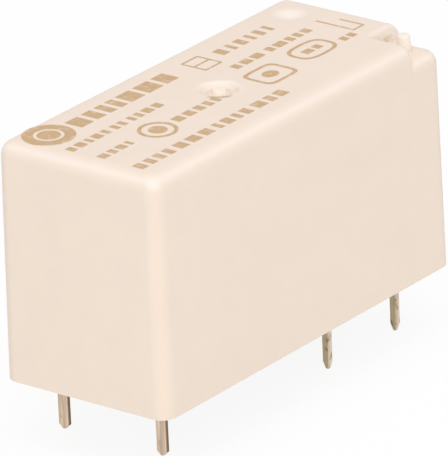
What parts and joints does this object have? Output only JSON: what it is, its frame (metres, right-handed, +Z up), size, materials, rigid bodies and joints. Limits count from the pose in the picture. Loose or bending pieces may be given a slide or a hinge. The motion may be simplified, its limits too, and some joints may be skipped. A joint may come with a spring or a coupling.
{
  "type": "electromagnetic relay",
  "caption": "Low-profile sealed power relay for a circuit board: a cream rectangular cover with a nib recess, flat coil pins, square contact pins and a working armature, slide and contact spring",
  "frame": {"origin": "middle of the seating plane: the centre of the sealed underside, level with the lower rim of the cover, from which the pins go down", "axes": "+X along the body from the coil pins towards the contact pins, +Y across the body, +Z up away from the board"},
  "size_m": [0.029, 0.0124, 0.0195],
  "materials": {
    "cover_plastic": "moulded polyester, fine matt",
    "base_plastic": "moulded, matt",
    "resin": "cured casting resin",
    "bobbin_plastic": "moulded, matt",
    "enamelled_wire": "enamelled copper wire",
    "tape": "polyester film tape",
    "soft_iron": "nickel-plated soft iron",
    "shim_brass": "rolled foil",
    "spring_steel": "rolled strip",
    "slide_plastic": "moulded, matt",
    "spring_copper": "rolled copper alloy",
    "contact_silver": "silver alloy, turned",
    "tinned_pin": "hot-tinned copper alloy"
  },
  "bodies": {
    "housing": {"cover": "cover_plastic", "base": "base_plastic", "sealing_resin": "resin", "coil_bobbin": "bobbin_plastic", "coil_winding": "enamelled_wire", "coil_tape": "tape", "core": "soft_iron", "yoke": "soft_iron", "armature_retaining_spring": "spring_steel", "common_terminal": "tinned_pin", "normally_open_terminal": "tinned_pin", "normally_open_contact": "contact_silver", "normally_closed_terminal": "tinned_pin", "normally_closed_contact": "contact_silver", "coil_terminal_a": "tinned_pin", "coil_terminal_b": "tinned_pin", "coil_start_wire": "enamelled_wire", "coil_end_wire": "enamelled_wire"},
    "armature": {"armature": "soft_iron", "anti_stick_shim": "shim_brass"},
    "slide": {"actuator_slide": "slide_plastic"},
    "contact_spring": {"moving_contact_spring": "spring_copper", "moving_contact": "contact_silver"}
  },
  "joints": [
    {"name": "armature_pivot", "type": "hinge", "parent": "housing", "child": "armature", "pos_m": [0.00315, 0, 0.00245], "axis": [0, -1, 0], "range_deg": [0, 3.82]},
    {"name": "slide_travel", "type": "slide", "parent": "housing", "child": "slide", "axis": [-1, 0, 0], "range_m": [0, 0.0007], "stiffness_N_per_m": 20},
    {"name": "contact_flex", "type": "hinge", "parent": "housing", "child": "contact_spring", "pos_m": [0.0083, 0, 0.0032], "axis": [0, -1, 0], "range_deg": [0, 4.14]}
  ],
  "couplings": [
    {"joint": "armature_pivot", "follows": "slide_travel", "rad_per_m": 95.238},
    {"joint": "contact_flex", "follows": "slide_travel", "rad_per_m": 102.64}
  ]
}
